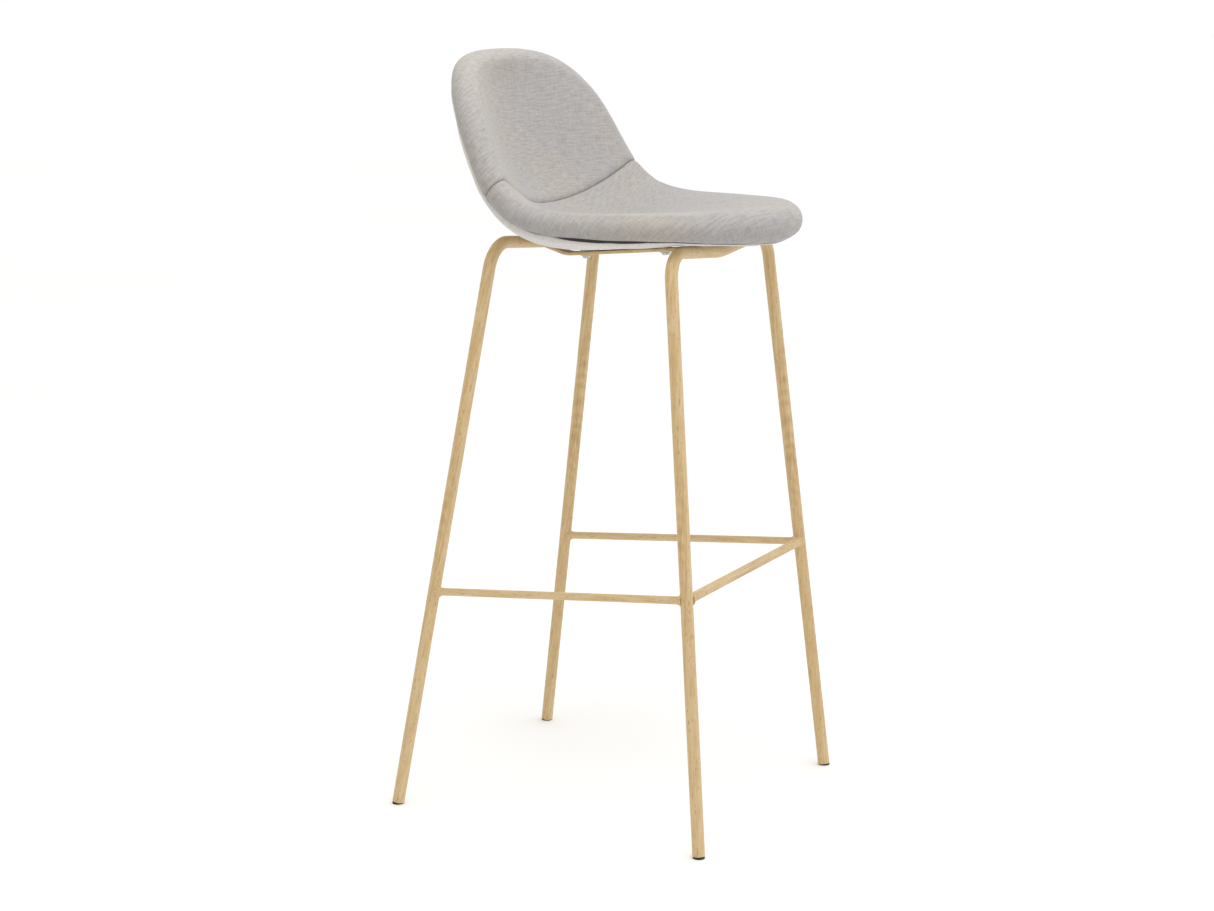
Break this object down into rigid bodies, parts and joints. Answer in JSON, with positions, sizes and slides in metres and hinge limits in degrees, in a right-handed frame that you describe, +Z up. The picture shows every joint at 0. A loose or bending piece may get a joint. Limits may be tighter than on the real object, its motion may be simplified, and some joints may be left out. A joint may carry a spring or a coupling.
{
  "type": "bar stool",
  "caption": "Bar stool with an upholstered bucket seat and low back on two bent steel tube hoops with a welded footrest.",
  "frame": {"origin": "on the floor, under the middle of the object's box, between the four feet", "axes": "+Z up, the sitter faces -Y, X runs across the seat and the stool is symmetric about X = 0"},
  "size_m": [0.4246, 0.4703, 0.9809],
  "materials": {
    "frame_finish": "satin oak wood-grain print on steel tube",
    "seat_fabric": "light grey linen-look weave with slubs",
    "lining_fabric": "pale grey plain weave",
    "foam": "moulded polyurethane foam",
    "shell_plastic": "moulded polypropylene",
    "nylon": "natural nylon",
    "glide_plastic": "black polyethylene",
    "bolt_steel": "black zinc",
    "zinc_steel": "zinc plated"
  },
  "bodies": {
    "root": {"front_leg_hoop": "frame_finish", "rear_leg_hoop": "frame_finish", "footrest_front_bar": "frame_finish", "footrest_rail_right": "frame_finish", "footrest_rail_left": "frame_finish", "strap_right": "frame_finish", "strap_left": "frame_finish", "glide_front_right": "glide_plastic", "glide_front_left": "glide_plastic", "glide_rear_right": "glide_plastic", "glide_rear_left": "glide_plastic", "rear_pad_right": "nylon", "rear_pad_left": "nylon", "seat_cover": "seat_fabric", "back_cover": "seat_fabric", "underside_cover": "lining_fabric", "foam_pad": "foam", "seat_shell": "shell_plastic", "frame_bolt_1": "bolt_steel", "frame_bolt_2": "bolt_steel", "frame_bolt_3": "bolt_steel", "frame_bolt_4": "bolt_steel", "nylon_washer_1": "nylon", "nylon_washer_2": "nylon", "nylon_washer_3": "nylon", "nylon_washer_4": "nylon", "nylon_spacer_1": "nylon", "nylon_spacer_2": "nylon", "nylon_spacer_3": "nylon", "nylon_spacer_4": "nylon", "t_nut_1": "zinc_steel", "t_nut_2": "zinc_steel", "t_nut_3": "zinc_steel", "t_nut_4": "zinc_steel"}
  },
  "joints": []
}
